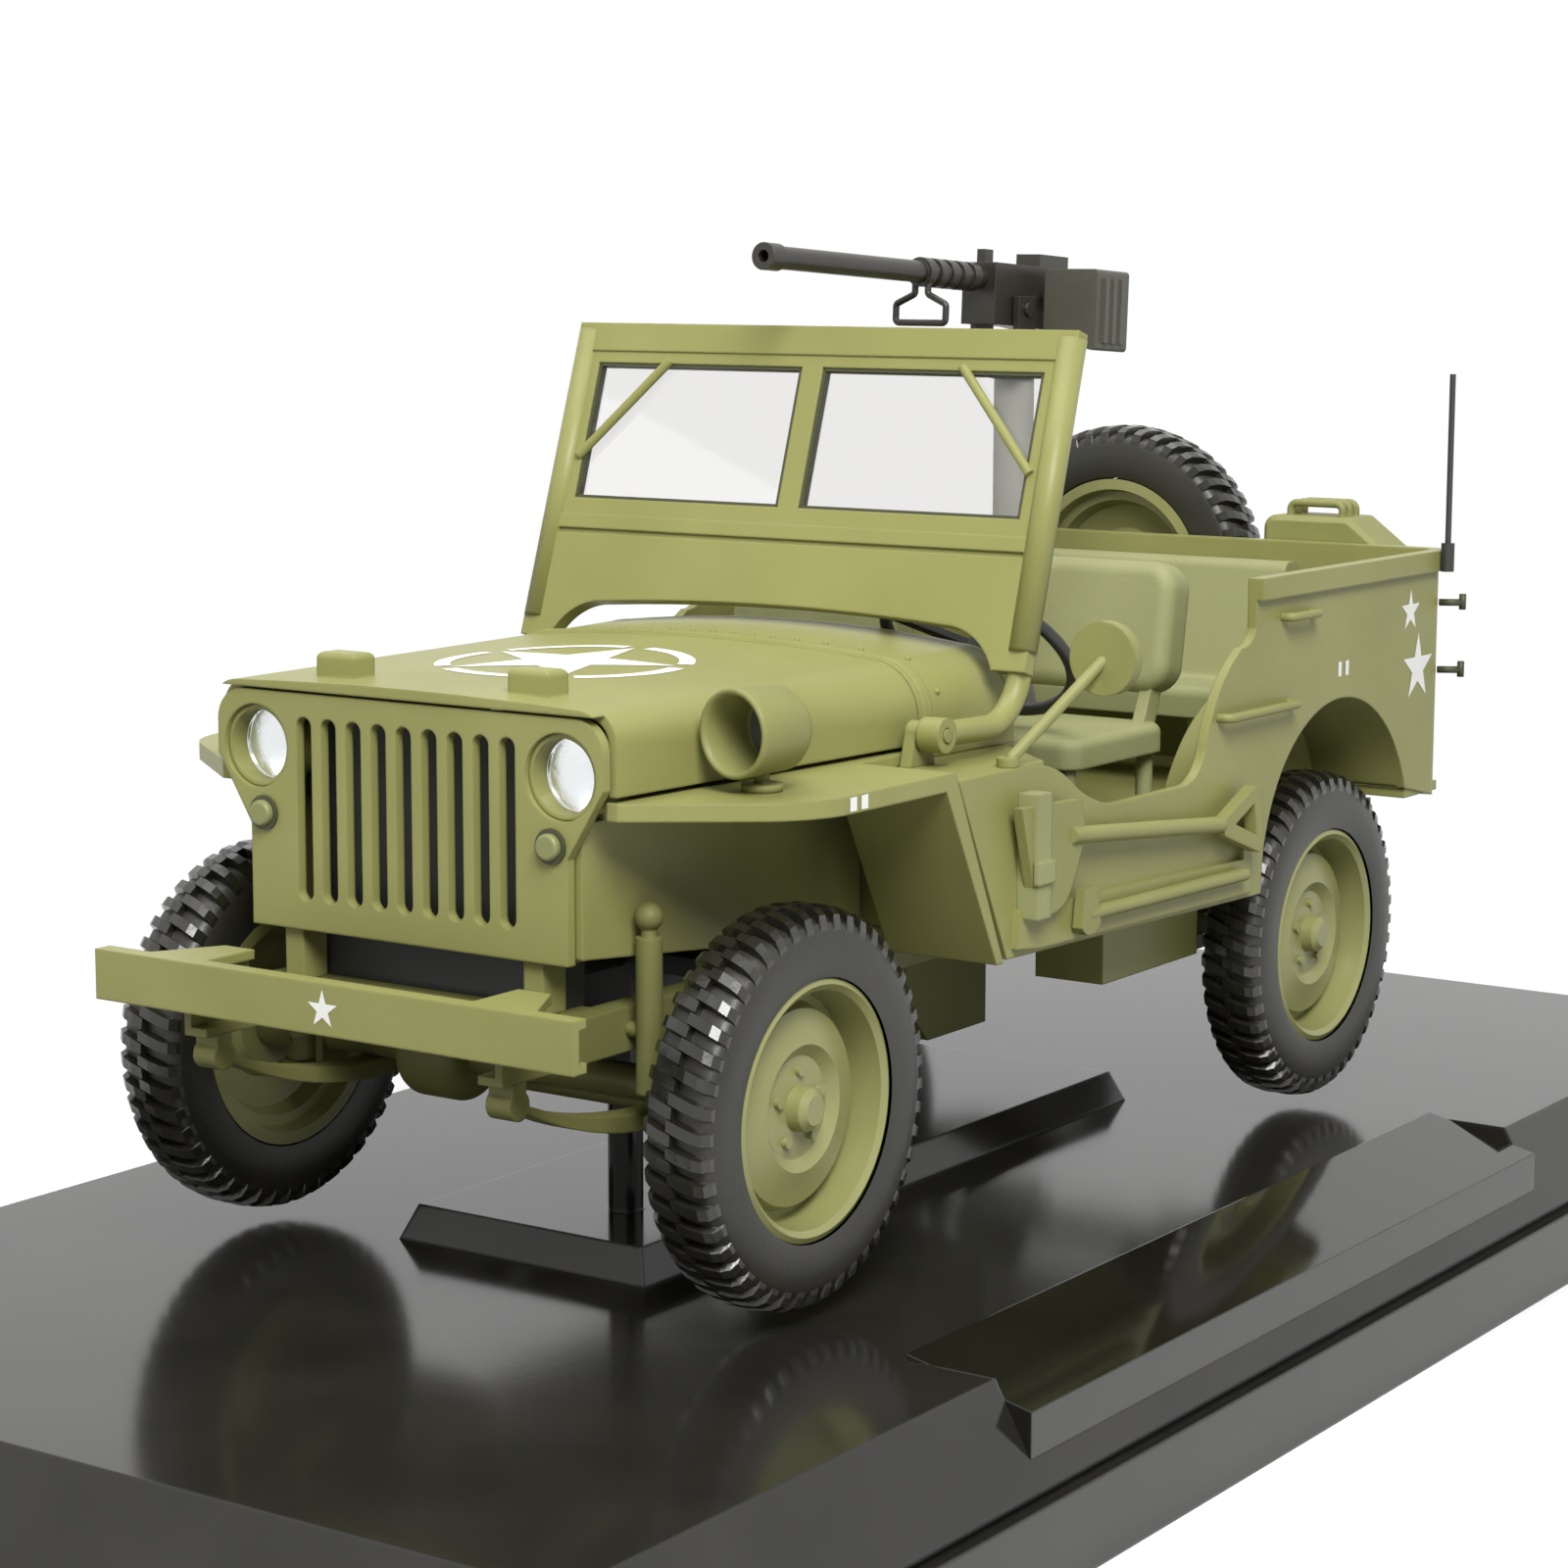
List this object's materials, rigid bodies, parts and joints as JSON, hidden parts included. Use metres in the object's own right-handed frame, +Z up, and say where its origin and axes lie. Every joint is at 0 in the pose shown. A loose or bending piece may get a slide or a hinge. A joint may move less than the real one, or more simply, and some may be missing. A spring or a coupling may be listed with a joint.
{
  "type": "scale model of an open army 4x4 car on a display plinth",
  "caption": "Die-cast collector's model of a light open army 4x4 car with a folding windscreen, hinged bonnet and pedestal gun, held on a black display plinth.",
  "frame": {"origin": "centre of the underside of the display plinth, which is the centre of the bottom of the whole object's box", "axes": "+Z up, the car's nose points to -Y and its left side to +X; +Y is the plinth's long direction"},
  "size_m": [0.136, 0.279, 0.1267],
  "materials": {
    "plinth": "glossy black moulded plastic",
    "nameplate": "glossy black plastic, blank",
    "body_paint": "satin olive drab paint over die-cast metal",
    "chassis_paint": "satin darker olive drab",
    "trim_plastic": "olive moulded plastic",
    "seat_plastic": "olive moulded plastic with a canvas grain",
    "tyre": "matt black rubber",
    "rim": "satin olive drab",
    "lens": "clear lens",
    "lamp_bowl": "bright reflector",
    "screen_glass": "clear pane",
    "marker": "olive lamp",
    "tail_lamp": "red lamp",
    "gun_metal": "dark gunmetal brown",
    "post_grey": "satin pale grey paint",
    "dark_trim": "black plastic",
    "aerial": "black wire"
  },
  "bodies": {
    "chassis": {"plinth": "plinth", "plinth_pad": "plinth", "nameplate": "nameplate", "frame_rails": "chassis_paint", "front_bumper": "body_paint", "leaf_springs": "chassis_paint", "front_axle": "chassis_paint", "rear_axle": "chassis_paint", "shock_absorbers": "chassis_paint", "engine_block": "dark_trim", "radiator": "dark_trim", "skid_plate": "chassis_paint", "tub": "body_paint", "cowl": "body_paint", "grille_panel": "body_paint", "headlamps": "lamp_bowl", "headlamp_lenses": "lens", "marker_lamps": "marker", "left_wing": "body_paint", "right_wing": "body_paint", "hooded_lamp": "trim_plastic", "side_mirror": "trim_plastic", "screen_brackets": "trim_plastic", "steering_column": "trim_plastic", "floor_controls": "trim_plastic", "driver_seat": "seat_plastic", "passenger_seat": "seat_plastic", "rear_bench": "seat_plastic", "shovel": "trim_plastic", "axe": "trim_plastic", "body_handles": "trim_plastic", "fuel_can": "trim_plastic", "spare_tyre": "tyre", "spare_rim": "rim", "tail_lamps": "tail_lamp", "rear_fittings": "chassis_paint", "aerial": "aerial", "gun_pedestal": "post_grey"},
    "bonnet": {"bonnet": "body_paint"},
    "windscreen": {"windscreen_frame": "body_paint", "windscreen_glass": "screen_glass"},
    "gun_mount": {"gun_cradle": "gun_metal"},
    "gun": {"gun_receiver": "gun_metal", "gun_barrel": "gun_metal", "ammunition_box": "gun_metal"},
    "steering_wheel": {"steering_wheel": "dark_trim"},
    "track_rod": {"track_rod": "chassis_paint"},
    "knuckle_left": {"knuckle_left": "chassis_paint"},
    "knuckle_right": {"knuckle_right": "chassis_paint"},
    "wheel_front_left": {"tyre_front_left": "tyre", "rim_front_left": "rim"},
    "wheel_front_right": {"tyre_front_right": "tyre", "rim_front_right": "rim"},
    "wheel_rear_left": {"tyre_rear_left": "tyre", "rim_rear_left": "rim"},
    "wheel_rear_right": {"tyre_rear_right": "tyre", "rim_rear_right": "rim"}
  },
  "joints": [
    {"name": "steering_left", "type": "hinge", "parent": "chassis", "child": "knuckle_left", "pos_m": [0.0295, -0.062, 0.0418], "axis": [0, 0, 1], "range_deg": [-25, 25]},
    {"name": "steering_right", "type": "hinge", "parent": "chassis", "child": "knuckle_right", "pos_m": [-0.0295, -0.062, 0.0418], "axis": [0, 0, 1], "range_deg": [-25, 25]},
    {"name": "track_rod_slide", "type": "slide", "parent": "chassis", "child": "track_rod", "axis": [-1, 0, 0], "range_m": [-0.0034, 0.0034]},
    {"name": "steering_wheel_turn", "type": "hinge", "parent": "chassis", "child": "steering_wheel", "pos_m": [0.0195, -0.002, 0.0811], "axis": [0, 0.6817, 0.7317], "range_deg": [-55, 55]},
    {"name": "bonnet_hinge", "type": "hinge", "parent": "chassis", "child": "bonnet", "pos_m": [0, -0.02885, 0.0836], "axis": [-1, 0, 0], "range_deg": [0, 75]},
    {"name": "windscreen_fold", "type": "hinge", "parent": "chassis", "child": "windscreen", "pos_m": [0, -0.0322, 0.0755], "axis": [-1, 0, 0], "range_deg": [-110, 0]},
    {"name": "gun_traverse", "type": "hinge", "parent": "chassis", "child": "gun_mount", "pos_m": [0, 0.038, 0.11], "axis": [0, 0, 1], "continuous": true},
    {"name": "gun_elevation", "type": "hinge", "parent": "gun_mount", "child": "gun", "pos_m": [0, 0.035, 0.1187], "axis": [-1, 0, 0], "range_deg": [-5, 25]},
    {"name": "wheel_front_left_spin", "type": "hinge", "parent": "knuckle_left", "child": "wheel_front_left", "pos_m": [0.0345, -0.062, 0.0418], "axis": [1, 0, 0], "continuous": true},
    {"name": "wheel_front_right_spin", "type": "hinge", "parent": "knuckle_right", "child": "wheel_front_right", "pos_m": [-0.0345, -0.062, 0.0418], "axis": [1, 0, 0], "continuous": true},
    {"name": "wheel_rear_left_spin", "type": "hinge", "parent": "chassis", "child": "wheel_rear_left", "pos_m": [0.0345, 0.0509, 0.0418], "axis": [1, 0, 0], "continuous": true},
    {"name": "wheel_rear_right_spin", "type": "hinge", "parent": "chassis", "child": "wheel_rear_right", "pos_m": [-0.0345, 0.0509, 0.0418], "axis": [1, 0, 0], "continuous": true}
  ],
  "couplings": [
    {"joint": "steering_right", "follows": "steering_left", "ratio": 1},
    {"joint": "track_rod_slide", "follows": "steering_left", "m_per_rad": 0.0074},
    {"joint": "steering_wheel_turn", "follows": "steering_left", "ratio": 2}
  ]
}
